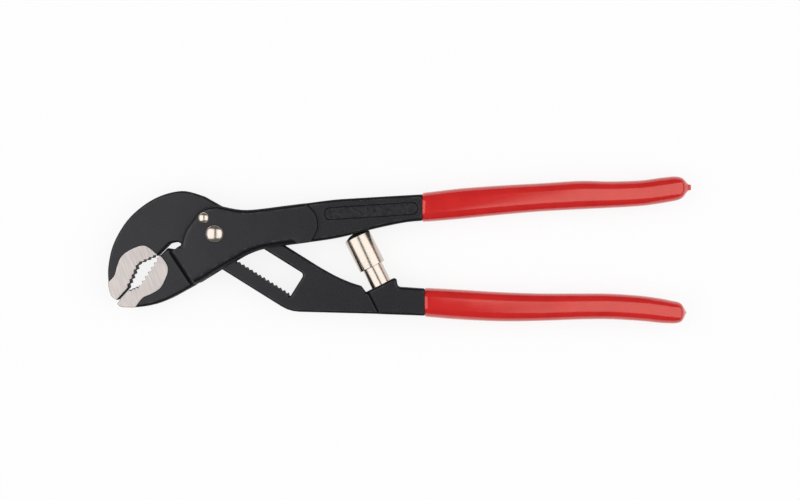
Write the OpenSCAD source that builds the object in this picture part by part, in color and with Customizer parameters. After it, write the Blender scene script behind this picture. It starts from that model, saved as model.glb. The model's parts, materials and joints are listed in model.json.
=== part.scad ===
// Self-adjusting water pump pliers: two forged levers crossing in a box joint,
// a toothed pawl on the pivot rivet, and a sprung strut that spreads the handles.
// Millimetres, Z up. The tool lies flat on the rear face of its box joint.

/* [Overall] */

// Length from the back of the upper jaw to the end of the longer grip
overall_length = 250; // [205:1:300]
// Thickness of the slotted arm and of both jaws
arm_t = 7.6; // [6.2:0.1:9.2]
// Thickness of each cheek of the box joint
cheek_t = 3.1; // [2.5:0.1:4.5]
// Thickness of the upper handle between the box joint and the grip
shank_t = 10.4; // [8.6:0.1:12.6]

/* [Joint] */

// Width of the slotted arm
arm_w = 22.8; // [19:0.1:27.5]
// Clear width of the slot between its plain edge and the middle of the rack
slot_w = 10.9; // [9:0.1:13.1]
// Angle of the slot below the tool's length, in degrees
slot_angle = 32; // [26:1:39]
// Distance the upper jaw slides to its widest setting
jaw_travel = 25; // [15:1:30]
// Swing of the handles that goes with the full slide, in degrees
swing = 25; // [15:1:30]
// Distance between two rack teeth
rack_pitch = 2.08; // [1.7:0.01:2.5]
// Height of a rack tooth
rack_h = 0.9; // [0.7:0.05:1.1]
// Shank diameter of the pivot rivet
pivot_d = 5.2; // [4.3:0.1:6.3]
// Head diameter of the pivot rivet
pivot_head_d = 7.8; // [6.5:0.1:9.4]
// Height of the pivot rivet's domed head
pivot_head_h = 1.8; // [1.5:0.1:2.2]
// Shank diameter of the stop rivet
stop_d = 3.2; // [2.6:0.1:3.9]
// Head diameter of the stop rivet
stop_head_d = 4.8; // [4:0.1:5.8]
// Height of the stop rivet's domed head
stop_head_h = 1.3; // [1:0.1:1.6]
// Distance of the stop rivet behind the pivot, along the slot
stop_back = 7.5; // [7:0.1:9]
// Height of the flared rear end of both rivets
flare = 0.8; // [0.6:0.05:1]

/* [Pawl] */

// Length of the pawl ahead of the pivot
pawl_front = 9.5; // [7.9:0.1:11.4]
// Distance of the pawl's sides inside the sides of the arm
pawl_inset = 0.2; // [0.1:0.02:0.4]
// Room above the pawl for its leaf spring
leaf_room = 1.65; // [1.35:0.05:2]
// Thickness of the leaf spring
leaf_t = 0.35; // [0.25:0.05:0.45]
// Width of the leaf spring
leaf_w = 5; // [4:0.1:6]

/* [Jaws] */

// Gap between the closed jaws
jaw_gap = 1; // [0.8:0.1:1.2]
// Height of a gripping tooth
tooth_h = 0.9; // [0.7:0.05:1.1]
// Height of the ground pads above the jaw sides
pad_h = 0.25; // [0.2:0.05:0.3]

/* [Handles] */

// Thickness of the dipped grip coat
coat_t = 0.8; // [0.6:0.05:1.2]
// Half thickness of the grips at their middle
grip_hz = 5.7; // [4.7:0.1:6.9]
// Length of the nub that the dip leaves on the longer grip
nub_l = 0.9; // [0.7:0.05:1.2]
// Radius of that nub
nub_r = 1.3; // [1:0.1:1.6]
// Depth of the bare panel sunk in the upper handle
panel_depth = 0.4; // [0.2:0.05:0.6]
// Width of that panel
panel_w = 5.2; // [4.3:0.1:6.3]

/* [Strut] */

// Diameter of the strut rod
rod_d = 8.9; // [7.4:0.1:10.7]
// Wall of the rod round its spring
rod_wall = 1.25; // [1:0.05:1.5]
// Solid rod under its spring
rod_floor = 3; // [2:0.1:4]
// Length of bare rod between the lower handle and the sleeve
rod_show = 8.5; // [7:0.1:10.2]
// Distance the collar on the rod's end stands out
collar = 0.5; // [0.4:0.05:0.7]
// Length of that collar
collar_l = 2; // [1.6:0.1:2.4]
// Wall of the sleeve round the collar
sleeve_wall = 0.8; // [0.6:0.05:1.1]
// Length of the narrow mouth that keeps the sleeve on the collar
lip_h = 2.2; // [1.8:0.1:2.7]
// Thickness of the sleeve's end under its dome
sleeve_end = 1.2; // [0.9:0.1:1.5]
// Height of the sleeve's dome
dome_h = 1.9; // [1.5:0.1:2.3]
// Steel on each side of the strut hole in the lower handle
boss_wall = 1.35; // [1:0.05:2]
// Steel under the strut hole
boss_floor = 2.6; // [2:0.1:3.2]
// Wire diameter of the strut spring
wire_d = 0.9; // [0.7:0.05:1.1]
// Turns of the strut spring
turns = 10; // [8:1:12]

/* [Clearances] */

// Gap on each side of the arm between the cheeks
side_gap = 0.3; // [0.2:0.05:0.4]
// Gap between the arm's edge and the joint's inner walls
edge_gap = 0.4; // [0.3:0.05:0.6]
// Running gap of the pawl round the pivot rivet and of the sleeve round the rod
run_gap = 0.06; // [0.03:0.01:0.1]
// Gap of a pressed or riveted fit
fit_gap = 0.03; // [0.01:0.01:0.05]
// Gap between the grip coat and the steel inside it
coat_gap = 0.05; // [0.02:0.01:0.1]
// Gap between a grip's mouth and the shoulder of the steel
mouth_gap = 0.1; // [0.05:0.01:0.2]
// Gap kept between pieces that pass each other
pass_gap = 0.35; // [0.3:0.05:0.5]
// Gap between the pawl's round hub and the plain edge of the slot
hub_gap = 0.55; // [0.4:0.05:0.7]
// Gap between the stop rivet and the plain edge of the slot
stop_gap = 0.55; // [0.5:0.05:0.8]
// Gap between the stop rivet and the slot's back end at rest
back_gap = 0.8; // [0.6:0.05:1]
// Quarter of the room ahead of the pawl at the far end of the slide
end_gap = 1.7; // [1.4:0.1:2]
// Gap between the strut spring and the rod's bore
coil_gap = 0.25; // [0.2:0.05:0.4]
// Gap between the rod's collar and the sleeve's narrow mouth
collar_gap = 0.6; // [0.4:0.05:0.8]

/* [Hidden] */

// Plan coordinates are millimetres from the pivot on a tool of this length without its nub.
plan_length = 249.38;
plan = (overall_length - nub_l) / plan_length;
slot_gap_t = arm_t + 2 * side_gap;
box_t = slot_gap_t + 2 * cheek_t;
mid_z = box_t / 2;
pad_t = arm_t + 2 * pad_h;
arm_hw = arm_w / 2;
cav_hw = arm_hw + edge_gap;
steel = [0.24, 0.24, 0.25];
nickel = [0.86, 0.83, 0.78];
vinyl = [0.80, 0.15, 0.16];

// Helpers for outlines

function unit(v) = v / norm(v);
function turn(p, a) = [p[0] * cos(a) - p[1] * sin(a), p[0] * sin(a) + p[1] * cos(a)];
function sized(list) = [for (p = list) p * plan];
function slot_xy(u, v) = turn([u, v], -slot_angle);

// One stretch of a curve that runs through its points.
function blend(a, b, c, d, t) = 0.5 * (2 * b + (c - a) * t
  + (2 * a - 5 * b + 4 * c - d) * t * t + (3 * b - a - 3 * c + d) * t * t * t);
function smooth(p, n) = [for (i = [0 : len(p) - 2])
  for (j = [0 : (i == len(p) - 2 ? n : n - 1)])
    blend(p[max(i - 1, 0)], p[i], p[i + 1], p[min(i + 2, len(p) - 1)], j / n)];

// Arc that rounds corner b between a and c.
function corner(a, b, c, r) = let (
    u = unit(a - b),
    w = unit(c - b),
    half = acos(u * w) / 2,
    o = b + unit(u + w) * r / sin(half),
    s = b + u * r / tan(half) - o,
    e = b + w * r / tan(half) - o,
    a0 = atan2(s[1], s[0]),
    raw = atan2(e[1], e[0]) - a0,
    da = raw > 180 ? raw - 360 : (raw < -180 ? raw + 360 : raw),
    k = max(2, ceil(abs(da) / 15)))
  [for (i = [0 : k]) o + r * [cos(a0 + da * i / k), sin(a0 + da * i / k)]];

// Row of n pointed teeth from p to q, cut h deep on the left of that line.
function teeth(p, q, n, h) = let (left = turn(unit(q - p), 90))
  [for (i = [0 : n - 1], half = [0, 0.5]) p + (q - p) * (i + half) / n + left * (half > 0 ? h : 0)];

// Jaw profile

nose_angle = 47.5;
nose = [-42.2, -28.3] * plan;
function jaw_xy(a, b) = nose + turn([a, b] * plan, nose_angle);
low_b = -jaw_gap / plan;
up_face = concat(
  teeth(jaw_xy(7.3, 0), jaw_xy(17.6, 3.4), 5, tooth_h),
  teeth(jaw_xy(17.6, 3.4), jaw_xy(25.6, 0), 4, tooth_h),
  [jaw_xy(25.6, 0)]);
low_face = concat(
  teeth(jaw_xy(24.8, low_b + 0.3), jaw_xy(11, low_b - 1.9), 6, tooth_h),
  teeth(jaw_xy(11, low_b - 1.9), jaw_xy(6.8, low_b), 3, tooth_h),
  [jaw_xy(6.8, low_b)]);

// Strut line, from the mouth of its hole in the lower handle to the upper handle

mouth = [71, -21.7] * plan;
dome_at = [59.84, 0.45] * plan;
crease_low = [71, -34.35] * plan;
strut_dir = unit(dome_at - mouth);
strut_across = turn(strut_dir, -90);
strut_angle = atan2(-strut_dir[0], strut_dir[1]);
function strut_xy(across, along) = mouth + strut_across * across + strut_dir * along;
rod_r = rod_d / 2;
rod_bore_r = rod_r - rod_wall;
collar_r = rod_r + collar;
sleeve_r = collar_r + run_gap + sleeve_wall;
boss_t = rod_d + 2 * boss_wall;
hole_deep = (mouth[1] - crease_low[1] - rod_r * sin(strut_angle) - boss_floor) / cos(strut_angle);
bore_floor = rod_floor - hole_deep;
apex = norm(dome_at - mouth);
sleeve_top = apex - dome_h;
ceiling = sleeve_top - sleeve_end;
lip_top = rod_show + lip_h;
collar_low = lip_top + collar_gap;
rod_top = collar_low + collar_l;
dome_r = (sleeve_r * sleeve_r + dome_h * dome_h) / (2 * dome_h);

// Upper jaw lever: jaw, slotted arm, strut boss and lower handle

arm_up = slot_xy(45.5 * plan, arm_hw);
b_end_x = 89.4 * plan;
b_end_low = [b_end_x, -35 * plan];
b_back = smooth(sized([[-42.2, -28.3], [-44.6, -26.4], [-45.8, -21.5], [-45.9, -13.5], [-43.4, -3.5],
  [-36.6, 7.2], [-26, 15.2], [-14.5, 18.4], [-5.2, 16.2]]), 6);
b_handle_top = smooth(concat([arm_up], sized([[51.5, -18.2], [57.5, -20.8], [62.4, -22.4]])), 3);
boss_shoulder = 1.6;
lip_round = 1;
b_lip = smooth([strut_xy(sleeve_r, 0), strut_xy(sleeve_r + lip_round, -lip_round), [78.4, -22.5] * plan,
  [82, -23] * plan, [b_end_x, -23.5 * plan]], 3);
b_bend = slot_xy(44.6 * plan, -arm_hw);
b_foot = corner([60, -34] * plan, b_bend, slot_xy(0, -arm_hw), 15 * plan);
b_neck = slot_xy(-13.2 * plan, -arm_hw - 1.1 * plan);
b_heel = jaw_xy(33.1, -0.3);
b_outline = concat(b_back, [slot_xy(-4 * plan, arm_hw)], b_handle_top,
  [strut_xy(-sleeve_r - boss_shoulder, 0)], b_lip, [b_end_low, crease_low], b_foot,
  [slot_xy(-11.6 * plan, -arm_hw), b_neck], corner(b_neck, b_heel, jaw_xy(25.6, 0), plan),
  [for (i = [len(up_face) - 1 : -1 : 0]) up_face[i]]);
b_boss = concat([strut_xy(-sleeve_r, 0)], b_lip, [b_end_low, crease_low]);
up_pad = concat(smooth(sized([[-47.5, -22], [-43.5, -18.4], [-42.2, -14.5], [-40.4, -10], [-36.7, -7],
  [-31.5, -5], [-28.2, -6], [-23.5, -10.2]]), 4), sized([[-30, -33], [-48, -33]]));

// Slot and rack, in slot coordinates

slot_hw = slot_w / 2;
slot_end_r = stop_d / 2 + back_gap;
slot_back = -stop_back - slot_end_r;
slot_front = pawl_front + jaw_travel + 4 * end_gap;
slot_low_r = 0.6;
slot_top_r = 1.6;
rack_tip = -slot_hw + rack_h / 2;
rack_root = -slot_hw - rack_h / 2;
rack_end = slot_front - slot_top_r;
rack_n = floor((rack_end - slot_back) / rack_pitch) - 1;
tooth_lean = 0.75 * rack_pitch;
slot_outline = concat(
  corner([0, slot_hw], [slot_back, slot_hw], [slot_back, 0], slot_end_r), [[slot_back, rack_tip]],
  [for (i = [rack_n : -1 : 1]) let (u = rack_end - i * rack_pitch)
    each [[u, rack_tip], [u + tooth_lean, rack_root]]],
  [[rack_end, rack_tip]],
  corner([rack_end, rack_root], [slot_front, rack_root], [slot_front, 0], slot_low_r),
  corner([slot_front, 0], [slot_front, slot_hw], [0, slot_hw], slot_top_r));

// Pawl and its leaf spring, in slot coordinates

pawl_t = arm_t - 2 * pawl_inset;
pawl_low = rack_tip + pass_gap;
pawl_root = pawl_low + rack_h;
pawl_top = slot_hw - leaf_room;
hub_r = slot_hw - hub_gap;
hub_flat = sqrt(hub_r * hub_r - pawl_top * pawl_top);
hub_from = 180 - asin(pawl_top / hub_r);
hub_to = 180 - asin(pawl_root / hub_r);
hub_steps = 12;
pawl_n = floor((pawl_front - hub_r * cos(hub_to)) / rack_pitch);
pawl_outline = concat(
  [[pawl_front, pawl_top]],
  [for (i = [0 : hub_steps]) let (a = hub_from + (hub_to - hub_from) * i / hub_steps)
    hub_r * [cos(a), sin(a)]],
  [for (i = [pawl_n : -1 : 1]) let (u = pawl_front - i * rack_pitch)
    each [[u, pawl_root], [u + tooth_lean, pawl_low]]],
  [[pawl_front, pawl_root]]);
stop_v = slot_hw - stop_gap - stop_d / 2;
leaf_inset = 0.1;
leaf_a = leaf_inset - hub_flat;
leaf_b = pawl_front - leaf_t - leaf_inset;
leaf_rise = leaf_room - pass_gap - leaf_t;
leaf_chord = leaf_b - leaf_a;
leaf_r = (leaf_chord * leaf_chord / 4 + leaf_rise * leaf_rise) / (2 * leaf_rise);
leaf_half = asin(leaf_chord / (2 * leaf_r));
leaf_o = [(leaf_a + leaf_b) / 2, pawl_top + fit_gap + leaf_rise - leaf_r];
function leaf_arc(r, side) = [for (i = [-6 : 6]) let (a = leaf_half * i / 6)
  leaf_o + r * [side * sin(a), cos(a)]];

// Lower jaw lever: jaw, box joint and upper handle

a_end_x = 88.4 * plan;
heel = [-18, -7.3] * plan;
toe = [-8.4, -21.9] * plan;
a_under = smooth(sized([[1.7, -15.6], [8.6, -11.6], [13.8, -8.7], [20.5, -6.4], [30.1, -4.9], [40.4, -3.5],
  [48.2, -2.4], [54, -1.3], [60, 0.2], [66.2, 1.8], [74, 3.6], [82, 5.1], [88.4, 5.7]]), 3);
a_over = smooth(sized([[88.4, 16.9], [76, 16.2], [61, 15.3], [50.7, 14.6], [38.2, 13], [30, 12], [20, 10.7],
  [13.8, 10.2], [8.6, 10.6], [1.6, 12.1]]), 3);
box_x = 38 * plan;
shank_x = 35 * plan;
a_box = concat(
  smooth(sized([[1.6, 12.1], [-3.2, 11.5], [-6.4, 9.6], [-10, 5.3], [-12.9, 0.9], [-14.6, -4.9]]), 5),
  [heel], corner(heel, toe, a_under[0], 2.2 * plan),
  [for (p = a_under) if (p[0] < box_x) p],
  smooth(sized([[40.6, -3.45], [43, 0.6], [43.7, 4.2], [42.6, 8.6], [38.2, 13]]), 4),
  [for (p = a_over) if (p[0] < box_x) p]);
a_shank = concat([for (p = a_under) if (p[0] > shank_x) p], [for (p = a_over) if (p[0] > shank_x) p]);
a_jaw = concat(
  smooth(sized([[-41.5, -29.2], [-41.9, -30], [-40.9, -31], [-39, -31.4], [-33, -31.4], [-26, -30.2],
    [-19, -27.5], [-12.5, -24], [-9.2, -22.2]]), 3),
  sized([[-4.6, -18.4], [-8.9, -9.9], [-14.6, -6.2], [-17.4, -6.7]]), [jaw_xy(31, low_b)], low_face,
  [jaw_xy(0.6, low_b)]);
low_pad = concat(smooth(sized([[-26, -6.6], [-21.5, -11.7], [-20.2, -15.2], [-21.2, -19], [-23.6, -23.3],
  [-27.5, -25.8], [-30.7, -27.2], [-32.4, -29], [-35.5, -33.4]]), 4), sized([[-46, -34], [-46, -24]]));

// Room between the cheeks for the arm at every angle of its swing.
reach = 70 * plan;
far_angle = -slot_angle - swing;
waist = [0, cav_hw / cos(swing / 2)];
mid_angle = -slot_angle - swing / 2;
cavity = [turn([reach, cav_hw], -slot_angle), turn(waist, mid_angle), turn([-reach, cav_hw], far_angle),
  turn([-reach, -cav_hw], -slot_angle), turn(-waist, mid_angle), turn([reach, -cav_hw], far_angle)];

// Grips, at stations of [distance along the tool, side position, half width, thickness over the middle's]

up_path = [[85.4, 11.15, 6.25, 0.3], [92, 11.7, 6.42, 0.3], [104.9, 13, 6.62, 0.25], [122.1, 14.5, 6.4, 0.1],
  [139.3, 15.7, 6.15, 0], [156.5, 16.7, 6.2, 0], [169.4, 16.9, 5.78, -0.1], [182.3, 17.5, 5.6, -0.2],
  [190.9, 18.6, 5.6, -0.3], [196.2, 19.35, 5.42, -0.4]];
low_path = [[86.4, -29.2, 6.25, 0.9], [93, -29.6, 6.38, 0.9], [104.9, -30.4, 6.5, 0.6],
  [122.1, -31.3, 6.35, 0.2], [139.3, -31.5, 5.98, 0], [156.5, -31.2, 5.66, 0], [169.4, -31.2, 5.58, -0.1],
  [182.3, -32, 5.5, -0.2], [190.9, -33, 5.35, -0.3], [196.2, -33.65, 4.95, -0.5]];
up_tip = [203.3, 20] * plan;
low_tip = [202.4, -34] * plan;
end_steps = [0.35, 0.6, 0.8, 0.92, 0.97];
least_step = 1;
tang_root = 1;
tang_in = coat_t + coat_gap;

function stations(path) = smooth([for (p = path) [p[0] * plan, p[1] * plan, p[2] * plan, grip_hz + p[3]]], 3);
function inset(list, t) = [for (s = list) s - [0, 0, t, t]];
function starting(list, x) = let (
    i = max([for (j = [0 : len(list) - 2]) if (list[j][0] <= x) j]),
    f = (x - list[i][0]) / (list[i + 1][0] - list[i][0]))
  concat([list[i] + (list[i + 1] - list[i]) * f], [for (s = list) if (s[0] > x + least_step) s]);
// Rounded end from the last station to the tip.
function ended(list, tip) = let (s = list[len(list) - 1])
  concat(list, [for (f = end_steps) let (narrow = sqrt(1 - f * f))
    [s[0] + (tip[0] - s[0]) * f, s[1] + (tip[1] - s[1]) * f, s[2] * narrow, s[3] * narrow]]);

up_stations = stations(up_path);
low_stations = stations(low_path);
top_y = max([for (s = up_stations) s[1] + s[2]]);
low_y = min([for (s = low_stations) s[1] - s[2]]);
left_x = min([for (p = b_back) p[0]]);
right_x = up_tip[0] + nub_l;
rest_z = max(concat([mid_z], [for (s = concat(up_stations, low_stations)) s[3]]));
shift = [-(left_x + right_x) / 2, -(top_y + low_y) / 2, rest_z];

// Sections and skins of the grips and of the steel inside them

sides = 20;
squareness = 0.72;
function bulge(c) = sign(c) * pow(abs(c), squareness);
function ring(s) = [for (i = [0 : sides - 1]) let (a = 360 * (i + 0.5) / sides)
  [s[0], s[1] + s[2] * bulge(cos(a)), s[3] * bulge(sin(a))]];
function rings(list) = [for (s = list) each ring(s)];
function flipped(f) = [f[2], f[1], f[0]];
function skin(n, base) = [for (i = [0 : n - 2], j = [0 : sides - 1], k = [0, 1]) let (
    a = base + i * sides + j,
    b = base + i * sides + (j + 1) % sides)
  k == 0 ? [a, a + sides, b + sides] : [a, b + sides, b]];
function fan(base, point) = [for (j = [0 : sides - 1]) [base + j, point, base + (j + 1) % sides]];

// Spring of the strut, in strut coordinates

coil_r = rod_bore_r - coil_gap - wire_d / 2;
coil_low = bore_floor + wire_d / 2 + fit_gap;
coil_high = ceiling - wire_d / 2 - fit_gap;
curl_rings = 8;
coil_steps = curl_rings * turns;
coil_turn = 360 / curl_rings;
wire_sides = 6;
function coil_at(i) = [coil_r * cos(coil_turn * i), coil_r * sin(coil_turn * i),
  coil_low + (coil_high - coil_low) * i / coil_steps];
lean = atan2(coil_high - coil_low, 2 * PI * coil_r * turns);
coil_points = [for (i = [0 : coil_steps], j = [0 : wire_sides - 1]) let (
    a = 360 * j / wire_sides,
    b = coil_turn * i,
    out = [cos(b), sin(b), 0],
    up = [sin(b) * sin(lean), -cos(b) * sin(lean), cos(lean)])
  coil_at(i) + wire_d / 2 * (out * cos(a) + up * sin(a))];
turn_gap = min([for (i = [0 : coil_steps], j = [i + curl_rings / 2 + 1 : 1 : coil_steps])
  norm(coil_at(i) - coil_at(j))]) - wire_d;
echo(strut_spring_least_gap = turn_gap);

// Shared solids

module slab(points, t) {
  translate([0, 0, -t / 2])
    linear_extrude(height = t)
      polygon(points);
}

module pad(outline, area) {
  translate([0, 0, -pad_t / 2])
    linear_extrude(height = pad_t)
      intersection() {
        polygon(outline);
        polygon(area);
      }
}

module placed() {
  translate(shift)
    children();
}

module in_slot() {
  rotate([0, 0, -slot_angle])
    children();
}

module on_strut() {
  translate([mouth[0], mouth[1], 0])
    rotate([0, 0, strut_angle])
      rotate([-90, 0, 0])
        children();
}

// Bar that follows stations to a tip.
module bar(list, tip) {
  last = (len(list) - 1) * sides;
  end = len(list) * sides;
  polyhedron(
    points = concat(rings(list), [[list[0][0], list[0][1], 0], [tip[0], tip[1], 0]]),
    faces = concat(skin(len(list), 0), [for (f = fan(0, end)) flipped(f)], fan(last, end + 1)));
}

// Steel inside a grip, from a little inside the lever's end at x.
module tang(list, x, tip) {
  end = tip - [tang_in, 0];
  bar(ended(starting(inset(list, tang_in), x - tang_root), end), end);
}

// Coat with an open mouth, between outer and inner stations.
module coat(outer, tip, inner, inner_tip) {
  base = len(outer) * sides;
  end = base + len(inner) * sides;
  polyhedron(
    points = concat(rings(outer), rings(inner),
      [[tip[0], tip[1], 0], [inner_tip[0], inner_tip[1], 0]]),
    faces = concat(skin(len(outer), 0), fan(base - sides, end),
      [for (f = skin(len(inner), base)) flipped(f)], [for (f = fan(end - sides, end + 1)) flipped(f)],
      [for (j = [0 : sides - 1], k = [0, 1]) let (q = (j + 1) % sides)
        k == 0 ? [j, q, base + q] : [j, base + q, base + j]]));
}

// Profile of a dome of radius r on a round end of radius w, whose top is at height top.
dome_steps = 8;
function dome(r, w, top) = [for (i = [1 : dome_steps]) let (a = asin(w / r) * (1 - i / dome_steps))
  [r * sin(a), top - r + r * cos(a)]];

// Rivet with a domed head in front and a flared end, flush with the box joint, behind.
module rivet(shank, head, head_h) {
  r = shank / 2;
  front = box_t / 2;
  round_r = (head * head / 4 + head_h * head_h) / (2 * head_h);
  rotate_extrude($fn = 64)
    polygon(concat(
      [[0, -front], [r + flare, -front], [r, -front + flare], [r, front], [head / 2, front]],
      dome(round_r, head / 2, front + head_h)));
}

module rivet_hole(shank) {
  r = shank / 2 + fit_gap;
  translate([0, 0, -box_t])
    cylinder(r = r, h = 2 * box_t, $fn = 64);
  translate([0, 0, -box_t / 2 - flare])
    cylinder(r1 = r + 2 * flare, r2 = r, h = 2 * flare, $fn = 64);
}

module at_stop() {
  in_slot()
    translate([-stop_back, stop_v, 0])
      children();
}

// Sunk panel with round ends on the upper handle.
panel_ends = sized([[49, 8.55], [84.4, 10.85]]);
panel_lean = atan2(panel_ends[1][1] - panel_ends[0][1], panel_ends[1][0] - panel_ends[0][0]);
end_arc = 10;
module panel() {
  translate([0, 0, shank_t / 2 - panel_depth])
    linear_extrude(height = box_t)
      polygon([for (k = [0, 1], i = [0 : end_arc])
        panel_ends[k] + panel_w / 2 * turn([1, 0], panel_lean + 90 + 180 * (k + i / end_arc))]);
}

// Groove under the upper handle that the strut's dome rests in.
seat_lean = 15;
seat_back = 9;
seat_l = 13;
module seat() {
  o = strut_xy(0, apex - dome_r);
  translate([o[0], o[1], 0])
    rotate([0, 0, seat_lean])
      translate([-seat_back, 0, 0])
        rotate([0, 90, 0])
          cylinder(r = dome_r + pass_gap, h = seat_l, $fn = 96);
}

// Nodes

module lower_jaw_lever() {
  color(steel)
    placed()
      difference() {
        union() {
          slab(a_box, box_t);
          slab(a_shank, shank_t);
          slab(a_jaw, arm_t);
          pad(a_jaw, low_pad);
          tang(up_stations, a_end_x, up_tip);
        }
        slab(cavity, slot_gap_t);
        rivet_hole(pivot_d);
        at_stop()
          rivet_hole(stop_d);
        panel();
        mirror([0, 0, 1])
          panel();
        seat();
      }
}

module upper_jaw_lever() {
  color(steel)
    placed()
      difference() {
        union() {
          slab(b_outline, arm_t);
          slab(b_boss, boss_t);
          pad(b_outline, up_pad);
          tang(low_stations, b_end_x, low_tip);
        }
        in_slot()
          slab(slot_outline, 2 * arm_t);
        on_strut()
          translate([0, 0, -hole_deep - fit_gap])
            cylinder(d = rod_d + 2 * fit_gap, h = hole_deep + rod_show, $fn = 64);
      }
}

module upper_grip() {
  x = a_end_x + mouth_gap;
  inner_tip = up_tip - [coat_t, 0];
  nub = [for (s = [[0, nub_r], [nub_l * 0.7, nub_r], [nub_l, nub_r * 0.6]])
    [up_tip[0] + s[0], up_tip[1], s[1], s[1]]];
  color(vinyl)
    placed()
      coat(concat(ended(starting(up_stations, x), up_tip), nub), [right_x, up_tip[1]],
        ended(starting(inset(up_stations, coat_t), x), inner_tip), inner_tip);
}

module lower_grip() {
  x = b_end_x + mouth_gap;
  inner_tip = low_tip - [coat_t, 0];
  color(vinyl)
    placed()
      coat(ended(starting(low_stations, x), low_tip), low_tip,
        ended(starting(inset(low_stations, coat_t), x), inner_tip), inner_tip);
}

module pivot_rivet() {
  color(nickel)
    placed()
      rivet(pivot_d, pivot_head_d, pivot_head_h);
}

module stop_rivet() {
  color(nickel)
    placed()
      at_stop()
        rivet(stop_d, stop_head_d, stop_head_h);
}

module ratchet_pawl() {
  color(steel)
    placed()
      in_slot()
        difference() {
          slab(pawl_outline, pawl_t);
          translate([0, 0, -pawl_t])
            cylinder(d = pivot_d + 2 * run_gap, h = 2 * pawl_t, $fn = 64);
        }
}

module pawl_spring() {
  color(nickel)
    placed()
      in_slot()
        slab(concat(leaf_arc(leaf_r, 1), leaf_arc(leaf_r + leaf_t, -1)), leaf_w);
}

module strut_rod() {
  color(nickel)
    placed()
      on_strut()
        rotate_extrude($fn = 64)
          polygon([[0, -hole_deep], [rod_r, -hole_deep], [rod_r, collar_low], [collar_r, collar_low],
            [collar_r, rod_top], [rod_bore_r, rod_top], [rod_bore_r, bore_floor], [0, bore_floor]]);
}

module strut_sleeve() {
  wide = collar_r + run_gap;
  narrow = rod_r + run_gap;
  color(nickel)
    placed()
      on_strut()
        rotate_extrude($fn = 64)
          polygon(concat(
            [[0, ceiling], [wide, ceiling], [wide, lip_top], [narrow, lip_top], [narrow, rod_show],
              [sleeve_r, rod_show], [sleeve_r, sleeve_top]],
            dome(dome_r, sleeve_r, apex)));
}

module strut_spring() {
  last = coil_steps * wire_sides;
  color(nickel)
    placed()
      on_strut()
        polyhedron(
          points = coil_points,
          faces = concat(
            [[for (j = [0 : wire_sides - 1]) j]],
            [for (i = [0 : coil_steps - 1], j = [0 : wire_sides - 1], k = [0, 1]) let (
                a = i * wire_sides + j,
                b = i * wire_sides + (j + 1) % wire_sides)
              k == 0 ? [a, a + wire_sides, b + wire_sides] : [a, b + wire_sides, b]],
            [[for (j = [wire_sides - 1 : -1 : 0]) last + j]]));
}

lower_jaw_lever();
upper_jaw_lever();
upper_grip();
lower_grip();
pivot_rivet();
stop_rivet();
ratchet_pawl();
pawl_spring();
strut_rod();
strut_sleeve();
strut_spring();
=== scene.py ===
"""Looks of a pair of self-adjusting water pump pliers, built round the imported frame.

Sizes are read from the frame or named here in millimetres. Blender's own unit is the metre.
"""

import json
import logging
import math
from dataclasses import dataclass
from enum import Enum
from typing import Dict, FrozenSet, List, Optional, Sequence, Set, Tuple

import bmesh
import bpy
import numpy
from mathutils import Matrix, Vector
from mathutils.geometry import delaunay_2d_cdt


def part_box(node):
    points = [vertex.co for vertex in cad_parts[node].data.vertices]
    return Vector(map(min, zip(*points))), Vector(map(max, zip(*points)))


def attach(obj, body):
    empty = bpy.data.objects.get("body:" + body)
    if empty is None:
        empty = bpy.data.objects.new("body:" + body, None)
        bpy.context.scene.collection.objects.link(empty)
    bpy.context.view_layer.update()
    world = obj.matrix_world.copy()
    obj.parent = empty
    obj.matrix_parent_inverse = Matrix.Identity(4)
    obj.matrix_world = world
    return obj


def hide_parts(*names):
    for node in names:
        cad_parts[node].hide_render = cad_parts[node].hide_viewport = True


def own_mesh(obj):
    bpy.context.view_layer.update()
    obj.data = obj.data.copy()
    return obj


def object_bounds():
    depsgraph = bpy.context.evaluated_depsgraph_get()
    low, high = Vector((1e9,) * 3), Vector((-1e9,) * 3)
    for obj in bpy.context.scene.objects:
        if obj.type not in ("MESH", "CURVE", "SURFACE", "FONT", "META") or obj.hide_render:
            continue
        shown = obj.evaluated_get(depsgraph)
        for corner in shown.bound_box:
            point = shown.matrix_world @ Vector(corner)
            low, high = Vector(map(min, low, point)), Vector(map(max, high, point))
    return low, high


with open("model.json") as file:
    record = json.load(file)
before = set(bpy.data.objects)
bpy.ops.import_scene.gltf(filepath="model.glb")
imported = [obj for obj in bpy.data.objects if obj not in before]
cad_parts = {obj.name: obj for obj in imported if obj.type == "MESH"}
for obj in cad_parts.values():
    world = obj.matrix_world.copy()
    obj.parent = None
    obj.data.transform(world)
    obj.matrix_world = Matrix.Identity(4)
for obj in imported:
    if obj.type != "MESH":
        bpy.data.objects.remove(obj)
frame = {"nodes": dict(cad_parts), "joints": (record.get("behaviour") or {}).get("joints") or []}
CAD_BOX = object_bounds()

LOG = logging.getLogger("pliers")
MM = 0.001
MIDDLE = sum(corner.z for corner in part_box("lower_jaw_lever")) / 2    # height of the tool's middle plane
HEADS = [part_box(node) for node in ("pivot_rivet", "stop_rivet")]
# Heights of the pieces' flats from the middle plane, in mm
CHEEK, BOSS, SHANK, PANEL, PAD, ARM = 7.2, 5.8, 5.2, 4.8, 4.05, 3.8
PAWL_SIDE, LEAF_SIDE = 3.6, 2.5
# Noise seldom leaves this range, so colour and gloss are spread over it
NOISE_LOW, NOISE_HIGH = 0.3, 0.7
# A size below this counts as nothing, in mm as in metres
NO_SIZE = 1e-6
# Heights that differ by less, in metres, are the same
SAME_HEIGHT = 1e-7
SENSOR_MM = 36.0
Profile = List[Tuple[float, float]]
Border = List[Tuple[bmesh.types.BMEdge, float, float]]
Sockets = Tuple[bpy.types.NodeSocket, bpy.types.NodeSocket]


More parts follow.
